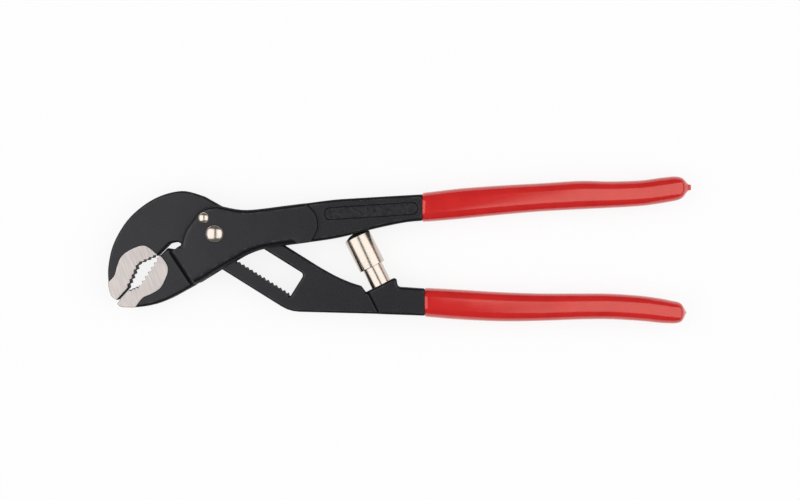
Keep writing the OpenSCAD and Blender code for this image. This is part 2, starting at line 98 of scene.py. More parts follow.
class Zone(Enum):
    """Parts of a forged lever that take a finish of their own, by material slot."""

    FACE = 0
    WALL = 1
    PAD = 2
    PANEL = 3
    # Painted shade in the fillet at the foot of a step
    CREASE_SHADE = 4


class Coat(Enum):
    """The two skins of a dipped grip, by the way that their points face."""

    OUTER = 1
    INNER = -1


def linear(code: str) -> Tuple[float, float, float, float]:
    """Turn an sRGB hex colour into linear RGBA.

    Args:
        code: Six hex digits after a hash sign.

    Returns:
        Linear red, green and blue, and an alpha of one.
    """
    shades = [int(code[i:i + 2], 16) / 255 for i in (1, 3, 5)]
    red, green, blue = (s / 12.92 if s <= 0.04045 else ((s + 0.055) / 1.055) ** 2.4 for s in shades)
    return red, green, blue, 1.0


def add_node(tree: bpy.types.NodeTree, kind: str, settings: Optional[Dict] = None,
             links: Optional[Dict] = None) -> bpy.types.Node:
    """Add one shader node with its settings and its incoming links.

    Args:
        tree: Node tree that takes the node.
        kind: Blender's type name of the node.
        settings: Values by property name, or by the name or number of an input.
        links: Output sockets by the name or number of the input that they feed.

    Returns:
        The new node.
    """
    node = tree.nodes.new(kind)
    for key, value in (settings or {}).items():
        if isinstance(key, int) or key in node.inputs:
            node.inputs[key].default_value = value
        else:
            setattr(node, key, value)
    for key, socket in (links or {}).items():
        tree.links.new(socket, node.inputs[key])
    return node


@dataclass(frozen=True)
class Finish:
    """A surface finish, named for what the real surface is made of.

    The surface runs between two colours and two degrees of gloss, and its relief has a real depth.
    """

    name: str
    colour: str
    second: str
    roughness: float
    roughness_range: float
    metallic: float = 0.0
    specular: float = 0.5
    tint: str = "#FFFFFF"
    coat: float = 0.0
    depth_mm: float = 0.02
    strength: float = 0.25

    def marks(self, tree: bpy.types.NodeTree, size_mm: Sequence[float], turn_deg: float = 0.0,
              octaves: float = 2.0) -> bpy.types.NodeSocket:
        """Lay out a noise pattern whose marks have a real size.

        Args:
            tree: Node tree of the material.
            size_mm: Size of one mark along the three axes.
            turn_deg: Turn of those axes about Z.
            octaves: Finer noise that goes with the marks.

        Returns:
            The pattern's factor, from 0 to 1 and about 0.5 in the middle.
        """
        place = add_node(tree, "ShaderNodeTexCoord")
        sized = add_node(tree, "ShaderNodeMapping", {
            "vector_type": "TEXTURE", "Rotation": (0.0, 0.0, math.radians(turn_deg)),
            "Scale": tuple(size * MM for size in size_mm)}, {"Vector": place.outputs["Object"]})
        noise = add_node(tree, "ShaderNodeTexNoise", {"Scale": 1.0, "Detail": octaves},
                         {"Vector": sized.outputs["Vector"]})
        return noise.outputs["Fac"]

    def patterns(self, tree: bpy.types.NodeTree) -> Sockets:
        """Return the factor of the colours and the height of the relief."""
        raise NotImplementedError

    def worn_and_shaded(self, tree: bpy.types.NodeTree, colour: bpy.types.NodeSocket) -> bpy.types.NodeSocket:
        """Return the colour with marks of use and painted shade; most finishes have none."""
        return colour

    def material(self) -> bpy.types.Material:
        """Make the finish's material on first use.

        Returns:
            The material, one for all pieces that have the finish.
        """
        found = bpy.data.materials.get(self.name)
        if found:
            return found
        made = bpy.data.materials.new(self.name)
        made.use_nodes = True
        tree = made.node_tree
        shader = tree.nodes["Principled BSDF"]
        shader.inputs["Metallic"].default_value = self.metallic
        shader.inputs["Specular IOR Level"].default_value = self.specular
        shader.inputs["Specular Tint"].default_value = linear(self.tint)
        shader.inputs["Coat Weight"].default_value = self.coat
        shader.inputs["Coat Roughness"].default_value = self.roughness
        shade, height = self.patterns(tree)
        share = add_node(tree, "ShaderNodeMapRange", {"From Min": NOISE_LOW, "From Max": NOISE_HIGH}, {"Value": shade})
        mixed = add_node(tree, "ShaderNodeMix", {"data_type": "RGBA", 6: linear(self.colour),
                                                 7: linear(self.second)}, {0: share.outputs["Result"]})
        tree.links.new(self.worn_and_shaded(tree, mixed.outputs[2]), shader.inputs["Base Color"])
        gloss = add_node(tree, "ShaderNodeMapRange", {
            "From Min": NOISE_LOW, "From Max": NOISE_HIGH, "To Min": self.roughness - self.roughness_range,
            "To Max": self.roughness + self.roughness_range}, {"Value": height})
        tree.links.new(gloss.outputs["Result"], shader.inputs["Roughness"])
        bump = add_node(tree, "ShaderNodeBump", {"Strength": self.strength, "Distance": self.depth_mm * MM},
                        {"Height": height})
        tree.links.new(bump.outputs["Normal"], shader.inputs["Normal"])
        return made


@dataclass(frozen=True)
class PhosphateBlack(Finish):
    """Black phosphate on tumbled steel: an even satin with fine grain, painted darker along its rims as shade, tan
    where it rubs through, with a painted highlight along tall step rims.
    """

    # Painted shade on the rims, full where their faces bend furthest away
    edge: str = "#0C0C10"
    # Tan where the black rubs through on shoulders; along tall step rims it is also a painted highlight
    rub_and_sheen: str = "#6E675C"
    cloud_mm: float = 12.0
    # Tumbling leaves a grain of about 0.1 mm; it is drawn coarser so that it shows in the render.
    grain_mm: float = 0.5
    grain_share: float = 0.45
    scuff_mm: float = 3.0
    scuff_range: Tuple[float, float] = (0.48, 0.72)
    scuff_gain: float = 5.0
    shoulder_bend: float = 0.35
    # Share of tan along tall step rims: rubbing and a painted highlight together
    step_wear_sheen: float = 0.4

    def patterns(self, tree: bpy.types.NodeTree) -> Sockets:
        """Lay out the tumbled surface.

        Args:
            tree: Node tree of the material.

        Returns:
            Soft clouds with grain in them for the colour, and the grain alone for the relief.
        """
        cloud = self.marks(tree, [self.cloud_mm] * 3)
        grain = self.marks(tree, [self.grain_mm] * 3, octaves=3.0)
        both = add_node(tree, "ShaderNodeMix", {0: self.grain_share}, {2: cloud, 3: grain})
        return both.outputs[0], grain

    def worn_and_shaded(self, tree: bpy.types.NodeTree, colour: bpy.types.NodeSocket) -> bpy.types.NodeSocket:
        """Paint shade over the rims as their faces bend away, and rub the black through in tan patches along their
        shoulders and along the rims of tall steps, where the tan also stands for a painted highlight.

        Args:
            tree: Node tree of the material.
            colour: Colour of the plain surface.

        Returns:
            The colour with its painted rim shade and its tan patches of rubbing and painted highlight.
        """
        bend = add_node(tree, "ShaderNodeAttribute", {"attribute_name": "bend"})
        # Painted shade: the rims darken towards the edge colour as their faces bend away
        dark = add_node(tree, "ShaderNodeMix", {"data_type": "RGBA", 7: linear(self.edge)},
                        {0: bend.outputs["Fac"], 6: colour})
        shoulder = add_node(tree, "ShaderNodeMapRange", {
            "interpolation_type": "SMOOTHSTEP", "From Min": self.shoulder_bend, "From Max": 0.0},
            {"Value": bend.outputs["Fac"]})
        band = add_node(tree, "ShaderNodeMath", {"operation": "MULTIPLY"},
                        {0: shoulder.outputs["Result"], 1: bend.outputs["Fac"]})
        # Tan along tall step rims: rubbing and a painted highlight together
        wear_sheen_and_sunk = add_node(tree, "ShaderNodeAttribute", {"attribute_name": "wear_sheen_and_sunk"})
        band = add_node(tree, "ShaderNodeMath", {"operation": "MULTIPLY_ADD", 1: self.step_wear_sheen},
                        {0: wear_sheen_and_sunk.outputs["Fac"], 2: band.outputs[0]})
        low, high = self.scuff_range
        scuff = add_node(tree, "ShaderNodeMapRange", {"From Min": low, "From Max": high, "To Max": self.scuff_gain},
                         {"Value": self.marks(tree, [self.scuff_mm] * 3, octaves=4.0)})
        share = add_node(tree, "ShaderNodeMath", {"operation": "MULTIPLY", "use_clamp": True},
                         {0: band.outputs[0], 1: scuff.outputs["Result"]})
        mixed = add_node(tree, "ShaderNodeMix", {"data_type": "RGBA", 7: linear(self.rub_and_sheen)},
                         {0: share.outputs[0], 6: dark.outputs[2]})
        return mixed.outputs[2]


@dataclass(frozen=True)
class ForgeScale(Finish):
    """Black scale left on forged walls and sunk places: dull and pitted, and darker than the tumbled faces where
    painted shade fills the fillets or a bending border.
    """

    depth_mm: float = 0.05
    strength: float = 0.6
    pit_mm: float = 0.8
    # Colour of the painted shade along a border whose faces bend away; none when empty
    edge: str = ""

    def patterns(self, tree: bpy.types.NodeTree) -> Sockets:
        """Return one pattern of pits for colour and relief."""
        pits = self.marks(tree, [self.pit_mm] * 3, octaves=3.0)
        return pits, pits

    def worn_and_shaded(self, tree: bpy.types.NodeTree, colour: bpy.types.NodeSocket) -> bpy.types.NodeSocket:
        """Paint shade along the border as its faces bend away, where the finish has an edge colour.

        Args:
            tree: Node tree of the material.
            colour: Colour of the plain surface.

        Returns:
            The colour with its painted border shade.
        """
        if not self.edge:
            return colour
        bend = add_node(tree, "ShaderNodeAttribute", {"attribute_name": "bend"})
        mixed = add_node(tree, "ShaderNodeMix", {"data_type": "RGBA", 7: linear(self.edge)},
                         {0: bend.outputs["Fac"], 6: colour})
        return mixed.outputs[2]


@dataclass(frozen=True)
class GroundSteel(Finish):
    """Bare steel ground on a belt: pale grey, with fine straight lines across the jaws."""

    depth_mm: float = 0.01
    turn_deg: float = 20.0
    # A grit line is about 0.05 mm wide; it is drawn wider so that it shows in the render.
    line_mm: float = 0.25
    stroke_mm: float = 10.0

    def patterns(self, tree: bpy.types.NodeTree) -> Sockets:
        """Return the grinding lines for colour and relief."""
        lines = self.marks(tree, [self.line_mm, self.stroke_mm, self.stroke_mm], self.turn_deg, octaves=3.0)
        return lines, lines


@dataclass(frozen=True)
class DippedVinyl(Finish):
    """Soft vinyl that the handles were dipped in: glossy, with faint clouds and orange peel."""

    depth_mm: float = 0.03
    strength: float = 0.12
    cloud_mm: float = 8.0
    peel_mm: float = 2.2

    def patterns(self, tree: bpy.types.NodeTree) -> Sockets:
        """Return the clouds and the orange peel."""
        return self.marks(tree, [self.cloud_mm] * 3, octaves=3.0), self.marks(tree, [self.peel_mm] * 3)


@dataclass(frozen=True)
class TurnedMetal(Finish):
    """Steel from the lathe or the wire mill, plated or bare: bright, with specks and faint rings."""

    depth_mm: float = 0.004
    strength: float = 0.12
    turn_deg: float = 0.0
    # A tool mark is about 0.05 mm wide; it is drawn wider so that it shows in the render.
    ring_mm: float = 0.4
    round_mm: float = 40.0
    speck_mm: float = 0.7

    def patterns(self, tree: bpy.types.NodeTree) -> Sockets:
        """Return specks for the colour and rings round the axis for the relief."""
        return (self.marks(tree, [self.speck_mm] * 3, octaves=3.0),
                self.marks(tree, [self.round_mm, self.ring_mm, self.round_mm], self.turn_deg, octaves=1.0))


# An even near-black satin: broad soft lights, painted shade round the rims, tan where hands rub a shoulder and a
# painted highlight along tall step rims
BLACK = PhosphateBlack("phosphated_steel_satin_black", "#1D1D20", "#252529",
                       roughness=0.30, roughness_range=0.05, specular=0.32)
# A dull black with no clear lights, which sets the walls off from the satin faces
SCALE = ForgeScale("forged_steel_black_scale", "#1C1C1F", "#2C2C30",
                   roughness=0.66, roughness_range=0.10, specular=0.25)
# Coarse pebbles on the sunk floor: small lights and darks, with painted shade as a black line round the border
PEBBLE = ForgeScale("forged_steel_pebbled", "#0E0E10", "#2C2C2F", roughness=0.45, roughness_range=0.10,
                    specular=0.25, pit_mm=1.3, depth_mm=0.18, edge="#060608")
# Painted shade: the deepest black, in the fillet at the foot of a step
CREASE_SHADE = ForgeScale("forged_steel_painted_crease_shade", "#070709", "#111113",
                    roughness=0.75, roughness_range=0.08, specular=0.08)
# A pale warm grey that looks silky, with straight lines across the jaws
GROUND = GroundSteel("belt_ground_steel", "#CFC7C3", "#B9B1AD",
                     roughness=0.42, roughness_range=0.08, metallic=1.0)
# A full red with long narrow lights along the handles, as of something wet
VINYL = DippedVinyl("dipped_vinyl_red", "#D82324", "#CE1D1E", roughness=0.13, roughness_range=0.03,
                    tint="#FFDDB8", coat=0.9)
# A warm mirror: bright panels with hard dark lines between them
NICKEL = TurnedMetal("nickel_plated_steel", "#D6CBBF", "#CFC4B8", roughness=0.22, roughness_range=0.03,
                     metallic=1.0, turn_deg=26.74)
# A mid grey metal with blurred lights
PAWL_STEEL = TurnedMetal("hardened_steel_milled", "#8C8A88", "#6E6C6A",
                         roughness=0.38, roughness_range=0.06, metallic=1.0)
# A brighter grey metal with a line of light along each turn
SPRING_STEEL = TurnedMetal("drawn_spring_steel", "#A7A29C", "#85807A",
                           roughness=0.28, roughness_range=0.05, metallic=1.0)


def new_piece(name: str, mesh: bpy.types.Mesh, body: str, node: str) -> bpy.types.Object:
    """Put a mesh in the scene as the piece that stands for a CAD node.

    Args:
        name: Name of the piece.
        mesh: Its finished mesh, in the row frame.
        body: CAD body that it moves with.
        node: CAD node that it replaces.

    Returns:
        The new object.
    """
    piece = bpy.data.objects.new(name, mesh)
    bpy.context.scene.collection.objects.link(piece)
    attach(piece, body)
    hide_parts(node)
    LOG.info("%s: %d faces on body %s", name, len(mesh.polygons), body)
    return piece


def skin(name: str, rows: Sequence[Sequence[Vector]], finish: Finish, crease_deg: float = 32.0) -> bpy.types.Mesh:
    """Join rings of points into one smooth mesh.

    Args:
        name: Name of the mesh.
        rows: Rings of equal length in order; a ring of one point closes an end.
        finish: Finish of the whole mesh.
        crease_deg: Angle above which an edge stays sharp.

    Returns:
        The finished mesh, with its faces turned outward.
    """
    form = bmesh.new()
    rings = [[form.verts.new(point) for point in row] for row in rows]
    for low, high in zip(rings, rings[1:]):
        for i in range(max(len(low), len(high))):
            quad = [low[i % len(low)], low[(i + 1) % len(low)], high[(i + 1) % len(high)], high[i % len(high)]]
            form.faces.new([v for n, v in enumerate(quad) if v not in quad[:n]])
    bmesh.ops.recalc_face_normals(form, faces=form.faces)
    mesh = bpy.data.meshes.new(name)
    form.to_mesh(mesh)
    form.free()
    mesh.shade_smooth()
    mesh.set_sharp_from_angle(angle=math.radians(crease_deg))
    mesh.materials.append(finish.material())
    return mesh


def turned(profile: Profile, place: Matrix, sides: int = 72) -> List[List[Vector]]:
    """Turn a profile round a placed Z axis.

    Args:
        profile: Radius and height of each point, in mm.
        place: Matrix that carries the Z axis to its place.
        sides: Points in a ring.

    Returns:
        One ring for each point, of a single point where the radius is nothing.
    """
    return [[place @ Vector((r * MM * math.cos(a), r * MM * math.sin(a), h * MM))
             for a in (2 * math.pi * i / sides for i in range(sides if r > NO_SIZE else 1))] for r, h in profile]


def arc(centre: Tuple[float, float], radius: float, start_deg: float, end_deg: float, steps: int) -> Profile:
    """Return the points of an arc in a profile, both ends included."""
    turns = [math.radians(start_deg + (end_deg - start_deg) * i / steps) for i in range(steps + 1)]
    return [(centre[0] + radius * math.cos(a), centre[1] + radius * math.sin(a)) for a in turns]


def through(points: Sequence[Vector], step: float, least: int = 3) -> List[Vector]:
    """Draw a smooth curve through points.

    Args:
        points: Points of any number of dimensions, no two neighbours alike.
        step: Largest distance between two points of the curve.
        least: Smallest number of stretches between two of the given points.

    Returns:
        Points of the curve, the given ones included.
    """
    line = [2 * points[0] - points[1], *points, 2 * points[-1] - points[-2]]
    made = []
    for a, b, c, d in zip(line, line[1:], line[2:], line[3:]):
        at_b = math.sqrt((b - a).length)
        at_c = at_b + math.sqrt((c - b).length)
        at_d = at_c + math.sqrt((d - c).length)
        count = max(least, math.ceil((c - b).length / step))
        for i in range(count):
            t = at_b + (at_c - at_b) * i / count
            ab, bc, cd = a.lerp(b, t / at_b), b.lerp(c, i / count), c.lerp(d, (t - at_c) / (at_d - at_c))
            low, high = ab.lerp(bc, t / at_c), bc.lerp(cd, (t - at_b) / (at_d - at_b))
            made.append(low.lerp(high, i / count))
    return made + [points[-1]]


@dataclass
class RoundedPart:
    """A part cut from its CAD form, whose flat faces are meshed anew with rounded rims and filleted steps.

    Every point keeps its place in plan; only its height changes, so the walls stay where the CAD has them.
    """

    node: str
    body: str
    name: str
    slot: str
    # Depth of the rims and of the fillets at the foot of steps, by the height of the flat
    rims_mm: Dict[float, float]
    steps_mm: Dict[float, float]
    # Rims of the walls that face the lower handle, where they differ
    low_rims_mm: Optional[Dict[float, float]] = None
    low_side: float = -0.3
    rim_share: float = 0.90
    # Share of a step's height in its fillet and in its rim, and their width over their depth
    step_shares: Tuple[float, float, float] = (0.80, 0.15, 1.0)
    shallow_shares: Tuple[float, float, float] = (0.45, 0.45, 3.0)
    shallow_mm: float = 0.6
    step_rim_mm: float = 0.5
    # A tooth has short edges between sharp corners
    tooth_rim_mm: float = 0.12
    tooth_mm: float = 2.6
    sharp_deg: float = 35.0
    # Width of the tan line along the rim of a tall step, rubbing and painted highlight together
    wear_sheen_mm: float = 0.45
    wear_sheen_slack_mm: float = 0.06
    far_mm: float = 9.0
    sunk_mm: float = 0.001
    # Where the steel goes into its grip, in metres; what lies beyond is left as it is
    end_x: float = 1.0
    end_over_mm: float = 0.05
    end_under_mm: float = 0.3
    # Limits for telling flats, walls and cheeks apart
    level_tilt: float = 0.9995
    same_way: float = 0.9
    height_mm: float = 0.01
    cheek_mm: float = 7.0
    crease_deg: float = 32.0
    # Fineness of the new mesh, with its rows beside the border as shares of the rounding's width
    offsets: Tuple[float, ...] = (0.07, 0.25, 0.5, 0.75, 1.02, 1.5)
    spots: Tuple[float, ...] = (0.0, 0.5, 1.0)
    clear_share: float = 0.97
    least_mm: float = 0.005
    cut_mm: float = 1.5
    grid_mm: float = 4.0
    cell_mm: float = 0.004
    thin_mm: float = 0.0003
    thin_passes: int = 3
    merge_mm: float = 1e-5
    weld_mm: float = 0.002

    def is_flat(self, face: bmesh.types.BMFace) -> bool:
        """Tell whether a face is an outer flat of the part.

        Args:
            face: Face of the CAD form.

        Returns:
            True for a flat that looks away from the middle plane and is not inside the grip.
        """
        rise = face.calc_center_median().z - MIDDLE
        return face.normal.z * math.copysign(1.0, rise) > self.level_tilt and \
            max(v.co.x for v in face.verts) < self.end_x + self.end_over_mm * MM

    def regions(self, form: bmesh.types.BMesh) -> List[List[bmesh.types.BMFace]]:
        """Gather the outer flats.

        Args:
            form: The part's CAD form.

        Returns:
            The faces of each connected flat.
        """
        left = {f for f in form.faces if self.is_flat(f)}
        found = []
        for seed in form.faces:
            if seed not in left:
                continue
            left.remove(seed)
            region, queue = [], [seed]
            while queue:
                face = queue.pop()
                region.append(face)
                near = list(dict.fromkeys(f for e in face.edges for f in e.link_faces if f in left))
                left.difference_update(near)
                queue += near
            found.append(region)
        return found

    def under_head(self, point: Vector) -> bool:
        """Tell whether a point of a cheek is hidden by the head of a rivet."""
        return abs(point.z - MIDDLE) > self.cheek_mm * MM and any(
            low.x < point.x < high.x and low.y < point.y < high.y for low, high in HEADS)

    def nearest(self, sizes_mm: Dict[float, float], level: float) -> float:
        """Return the size that goes with a flat's height from the middle plane."""
        rise_mm = abs(level - MIDDLE) / MM
        return sizes_mm[min(sizes_mm, key=lambda known: abs(known - rise_mm))]

    def stands_on_flat(self, wall: bmesh.types.BMFace, foot: bmesh.types.BMVert, out: float) -> bool:
        """Tell whether a wall, or the wall that goes on from it, ends at its foot in an outer flat.

        Args:
            wall: Upright face below a border edge.
            foot: Lower corner of that face.
            out: 1 above the middle plane and -1 below it.

        Returns:
            True at a step, False where the wall runs on down or turns under.
        """
        for edge in foot.link_edges:
            flats = [f for f in edge.link_faces if f.normal.z * out > 0 and self.is_flat(f)]
            sides = [f for f in edge.link_faces if f.normal.dot(wall.normal) > self.same_way
                     and max(v.co.z * out for v in f.verts) > foot.co.z * out + self.height_mm * MM]
            if flats and sides:
                return True
        return False

    def rim(self, loop: bmesh.types.BMLoop, level: float, sharp: bool) -> Tuple[float, float]:
        """Work out the rounding along one border edge of a flat.

        Args:
            loop: The edge's corner in the flat.
            level: Height of the flat.
            sharp: Whether both ends of the edge are sharp corners.

        Returns:
            Depth in mm, above 0 on an outer rim and below 0 at the foot of a step, and width in plan.
        """
        wall = next(f for f in loop.edge.link_faces if f is not loop.face)
        ends = [v.co for v in loop.edge.verts]
        if min(c.x for c in ends) > self.end_x - self.end_under_mm * MM or any(self.under_head(c) for c in ends):
            return 0.0, 0.0
        out = math.copysign(1.0, level - MIDDLE)
        reach = max((v.co.z - level for v in wall.verts), key=abs) * out / MM
        feet = [v for v in wall.verts if abs(v.co.z - level) > self.height_mm * MM]
        shares = self.step_shares if abs(reach) > self.shallow_mm else self.shallow_shares
        fillet, edge, spread = shares
        if reach > 0:
            depth = min(self.nearest(self.steps_mm, level), fillet * reach)
            return -depth, depth * spread
        if sharp and loop.edge.calc_length() < self.tooth_mm * MM:
            return self.tooth_rim_mm, self.tooth_rim_mm
        if any(self.stands_on_flat(wall, v, out) for v in feet):
            depth = min(self.step_rim_mm, edge * abs(reach))
            return depth, depth * spread
        rims = self.low_rims_mm if self.low_rims_mm and wall.normal.y < self.low_side else self.rims_mm
        depth = min(self.nearest(rims, level), self.rim_share * abs(reach))
        return depth, depth

    def border(self, region: List[bmesh.types.BMFace]) -> Border:
        """Find the border of a flat.

        Args:
            region: Faces of the flat.

        Returns:
            The border edges, long ones not cut yet, with the depth and width of their roundings.
        """
        inside = set(region)
        level = region[0].verts[0].co.z
        loops = [l for f in region for l in f.loops if not inside.issuperset(l.edge.link_faces)]
        ways: Dict[bmesh.types.BMVert, List[Vector]] = {}
        for loop in loops:
            for vert in loop.edge.verts:
                ways.setdefault(vert, []).append((loop.edge.other_vert(vert).co - vert.co).xy)
        sharp = {v for v, w in ways.items() if len(w) == 2
                 and math.degrees(math.pi - w[0].angle(w[1])) > self.sharp_deg}
        return [(l.edge, *self.rim(l, level, sharp.issuperset(l.edge.verts))) for l in loops]

    def cut(self, form: bmesh.types.BMesh, border: Border, level: float) -> Border:
        """Cut the long border edges of a flat whose faces are gone.

        Args:
            form: The part's form, which is changed.
            border: The flat's border edges with their roundings.
            level: Height of the flat.

        Returns:
            The short edges with the roundings of the edges that they come from.
        """
        pieces = []
        for edge, depth, width in border:
            cuts = math.ceil(edge.calc_length() / (self.cut_mm * MM)) - 1
            ends = [edge]
            if cuts:
                made = bmesh.ops.subdivide_edges(form, edges=[edge], cuts=cuts)["geom_split"]
                ends = [g for g in made if isinstance(g, bmesh.types.BMEdge)
                        and all(abs(v.co.z - level) < SAME_HEIGHT for v in g.verts)]
            pieces += [(e, depth, width) for e in ends]
        kept = {e for e, _, _ in pieces}
        spare = [e for e in form.edges if not e.link_faces and e not in kept]
        bmesh.ops.delete(form, geom=spare, context="EDGES")
        return pieces

    def remesh(self, form: bmesh.types.BMesh, region: List[bmesh.types.BMFace], border: Border) -> None:
        """Mesh one flat anew, finely along its border, and round that border.

        Args:
            form: The part's form, which is changed.
            region: Faces of the flat.
            border: The flat's border edges with their roundings.
        """
        level = region[0].verts[0].co.z
        out = math.copysign(1.0, level - MIDDLE)
        rise, wear_sheen_and_sunk = form.faces.layers.float["rise"], form.verts.layers.float["wear_sheen_and_sunk"]
        bmesh.ops.delete(form, geom=region, context="FACES_ONLY")
        pieces = self.cut(form, border, level)
        verts = list(dict.fromkeys(v for e, _, _ in pieces for v in e.verts))
        index = {v: i for i, v in enumerate(verts)}
        ring = numpy.array([v.co.xy for v in verts]) / MM
        edges = numpy.array([[index[v] for v in e.verts] for e, _, _ in pieces])
        depths, widths = (numpy.array([p[n] for p in pieces]) for n in (1, 2))
        inner = self.fine_points(ring, edges, widths)
        points = [Vector(p) for p in (*ring, *inner)]
        plan, lines, faces, origins, sources, _ = delaunay_2d_cdt(points, edges.tolist(), [], 0, self.merge_mm, True)
        flat, tri = numpy.array(plan), numpy.array(faces)
        fixed = {frozenset(line) for line, source in zip(lines, sources) if source}
        tri = tri[self.within(flat, tri, fixed, self.inside(flat[tri].mean(axis=1), ring, edges))]
        tri = tri if out > 0 else tri[:, ::-1]
        gaps = self.gap(flat, ring, edges)
        lift = self.lift(gaps, depths, widths)
        tall = numpy.where(numpy.abs(depths - self.step_rim_mm) < self.wear_sheen_slack_mm, gaps, self.far_mm).min(axis=1)
        made = []
        for i, origin in enumerate(origins):
            known = next((n for n in origin if n < len(verts)), None)
            vert = verts[known] if known is not None else form.verts.new((flat[i][0] * MM, flat[i][1] * MM, level))
            vert.co.z = level + out * lift[i] * MM
            # Below 0 marks a fillet, which takes painted crease shade; above 0 near a tall step's rim it sets the tan
            # line of rubbing and painted highlight
            vert[wear_sheen_and_sunk] = -1.0 if lift[i] > self.sunk_mm else max(0.0, 1.0 - tall[i] / self.wear_sheen_mm)
            made.append(vert)
        for corners in tri:
            form.faces.new([made[n] for n in corners])[rise] = abs(level - MIDDLE) / MM

    def within(self, flat: numpy.ndarray, tri: numpy.ndarray, fixed: Set[FrozenSet[int]],
               guess: numpy.ndarray) -> numpy.ndarray:
        """Tell which faces lie on the flat, with the thinnest ones taken from their neighbours.

        Args:
            flat: Places of the corners in mm.
            tri: Corners of each face.
            fixed: Edges on the border.
            guess: Whether the middle of each face lies inside the border, which is unsure for thin faces.

        Returns:
            True for each face on the flat.
        """
        sides = flat[numpy.roll(tri, -1, axis=1)] - flat[tri]
        turn = sides[:, 0, 0] * sides[:, 1, 1] - sides[:, 0, 1] * sides[:, 1, 0]
        thin = numpy.abs(turn) < self.thin_mm * numpy.linalg.norm(sides, axis=2).max(axis=1)
        owners: Dict[FrozenSet[int], List[int]] = {}
        for n, (a, b, c) in enumerate(tri.tolist()):
            for pair in ((a, b), (b, c), (c, a)):
                owners.setdefault(frozenset(pair), []).append(n)
        state = numpy.where(thin, False, guess)
        for _ in range(self.thin_passes):
            for pair, (one, two) in ((p, o) for p, o in owners.items() if len(o) == 2 and p not in fixed):
                if thin[one] or thin[two]:
                    state[[one, two]] = state[one] | state[two]
        return state

    def fine_points(self, ring: numpy.ndarray, edges: numpy.ndarray, widths: numpy.ndarray) -> numpy.ndarray:
        """Choose the points inside a flat.

        Args:
            ring: Places of the border's points in mm.
            edges: Ends of each border edge.
            widths: Width of the rounding along each edge.

        Returns:
            Points beside the border, where the rounding needs them, and a grid further in.
        """
        a, b = ring[edges[:, 0]], ring[edges[:, 1]]
        way = (b - a) / numpy.linalg.norm(b - a, axis=1)[:, None]
        side = numpy.stack([-way[:, 1], way[:, 0]], axis=1)
        steps = [numpy.arange(low + self.grid_mm / 2, high, self.grid_mm)
                 for low, high in zip(ring.min(axis=0), ring.max(axis=0))]
        made = [numpy.stack(numpy.meshgrid(*steps), axis=-1).reshape(-1, 2)]
        need = [numpy.full(len(made[0]), self.grid_mm / 2)]
        for share in self.offsets:
            for spot in self.spots:
                for hand in (-1, 1):
                    made.append(a + (b - a) * spot + side * (widths * share * hand)[:, None])
                    need.append(widths * share * self.clear_share)
        points, clear = numpy.concatenate(made), numpy.concatenate(need)
        keep = (clear > self.least_mm) & self.inside(points, ring, edges)
        points, clear = points[keep], clear[keep]
        points = points[self.gap(points, ring, edges).min(axis=1) > clear]
        # Points that share a cell are near copies; a second grid, half a cell on, finds those across a cell's side
        for shift in (0.0, 0.5):
            cells = numpy.floor(points / self.cell_mm + shift)
            points = points[numpy.unique(cells, axis=0, return_index=True)[1]]
        return points

    @staticmethod
    def gap(points: numpy.ndarray, ring: numpy.ndarray, edges: numpy.ndarray) -> numpy.ndarray:
        """Measure how far points lie from the border.

        Args:
            points: Places of the points in mm.
            ring: Places of the border's points.
            edges: Ends of each border edge.

        Returns:
            Distance of every point from every border edge.
        """
        a, b = ring[edges[:, 0]], ring[edges[:, 1]]
        way = b - a
        t = ((points[:, None] - a) * way).sum(axis=2) / (way * way).sum(axis=1)
        near = a + numpy.clip(t, 0, 1)[:, :, None] * way
        return numpy.linalg.norm(points[:, None] - near, axis=2)

    @staticmethod
    def inside(points: numpy.ndarray, ring: numpy.ndarray, edges: numpy.ndarray) -> numpy.ndarray:
        """Tell which points lie inside the border.

        Args:
            points: Places of the points in mm.
            ring: Places of the border's points.
            edges: Ends of each border edge.

        Returns:
            True for each point inside.
        """
        a, b = ring[edges[:, 0]], ring[edges[:, 1]]
        x, y = points[:, 0, None], points[:, 1, None]
        cross = (a[:, 1] > y) != (b[:, 1] > y)
        rise = numpy.where(b[:, 1] == a[:, 1], 1.0, b[:, 1] - a[:, 1])
        return (cross & (x < a[:, 0] + (y - a[:, 1]) * (b[:, 0] - a[:, 0]) / rise)).sum(axis=1) % 2 == 1

    @staticmethod
    def lift(gaps: numpy.ndarray, depths: numpy.ndarray, widths: numpy.ndarray) -> numpy.ndarray:
        """Work out how far each point rises above its flat.

        Args:
            gaps: Distance of every point from every border edge.
            depths: Depth of the rounding along each edge.
            widths: Width of the rounding along each edge.

        Returns:
            Rise of each point in mm; below 0 on an outer rim.
        """
        short = numpy.clip(1 - gaps / numpy.maximum(widths, NO_SIZE), 0, 1)
        bend = depths * (1 - numpy.sqrt(1 - short * short))
        return -numpy.minimum(bend, 0).min(axis=1) - numpy.maximum(bend, 0).max(axis=1)

    def rounded(self) -> bpy.types.Mesh:
        """Round every rim of the CAD form and fillet every step.

        Returns:
            The new mesh, with the height of each face's flat in "rise" and, in a point attribute, the tan line of
            rubbing and painted highlight along tall step rims, below 0 in fillets that take painted crease shade.
        """
        form = bmesh.new()
        form.from_mesh(frame["nodes"][self.node].data)
        bmesh.ops.remove_doubles(form, verts=form.verts, dist=self.weld_mm * MM)
        form.faces.layers.float.new("rise")
        form.verts.layers.float.new("wear_sheen_and_sunk")
        form.normal_update()
        flats = [(region, self.border(region)) for region in self.regions(form)]
        for region, border in flats:
            self.remesh(form, region, border)
        form.normal_update()
        mesh = bpy.data.meshes.new(self.name)
        form.to_mesh(mesh)
        form.free()
        return mesh

    def dress(self, mesh: bpy.types.Mesh) -> None:
        """Give the part its finish."""
        raise NotImplementedError

